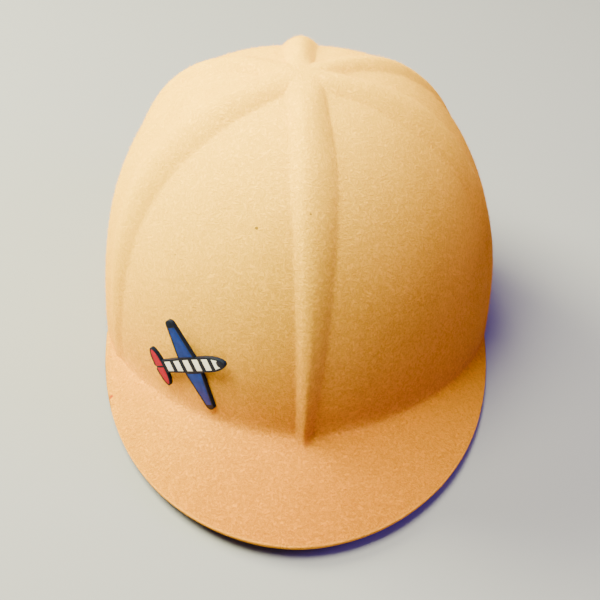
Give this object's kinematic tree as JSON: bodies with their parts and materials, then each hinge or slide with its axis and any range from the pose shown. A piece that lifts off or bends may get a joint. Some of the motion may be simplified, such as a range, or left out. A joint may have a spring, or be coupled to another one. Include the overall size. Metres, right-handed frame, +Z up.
{
  "type": "felt cap",
  "caption": "Moulded felt cap with pressed ribs that meet in a low hub, a short peak in one with the crown, and a small enamel aeroplane pin near the fold.",
  "frame": {"origin": "middle of the whole cap's box, on the surface that it rests on", "axes": "+Z up, -Y towards the front of the peak, +X to the left of a wearer, which is the right of the picture seen from the front"},
  "size_m": [0.1734, 0.2458, 0.1441],
  "materials": {
    "felt": "short-haired wool felt, honey yellow to cream, matt with a fine mottled nap",
    "pin_metal": "blackened die-cut metal with a soft shine",
    "blue_enamel": "glossy blue enamel",
    "white_enamel": "glossy white enamel",
    "red_enamel": "glossy red enamel",
    "clutch_brass": "plain stamped brass, lightly polished"
  },
  "bodies": {
    "root": {"felt_body": "felt", "pin_plate": "pin_metal", "wing_enamel_left": "blue_enamel", "wing_enamel_right": "blue_enamel", "band_enamel_1": "white_enamel", "band_enamel_2": "white_enamel", "band_enamel_3": "white_enamel", "band_enamel_4": "white_enamel", "band_enamel_5": "white_enamel", "nose_enamel": "white_enamel", "tail_enamel_left": "red_enamel", "tail_enamel_right": "red_enamel", "pin_clutch": "clutch_brass"}
  },
  "joints": []
}
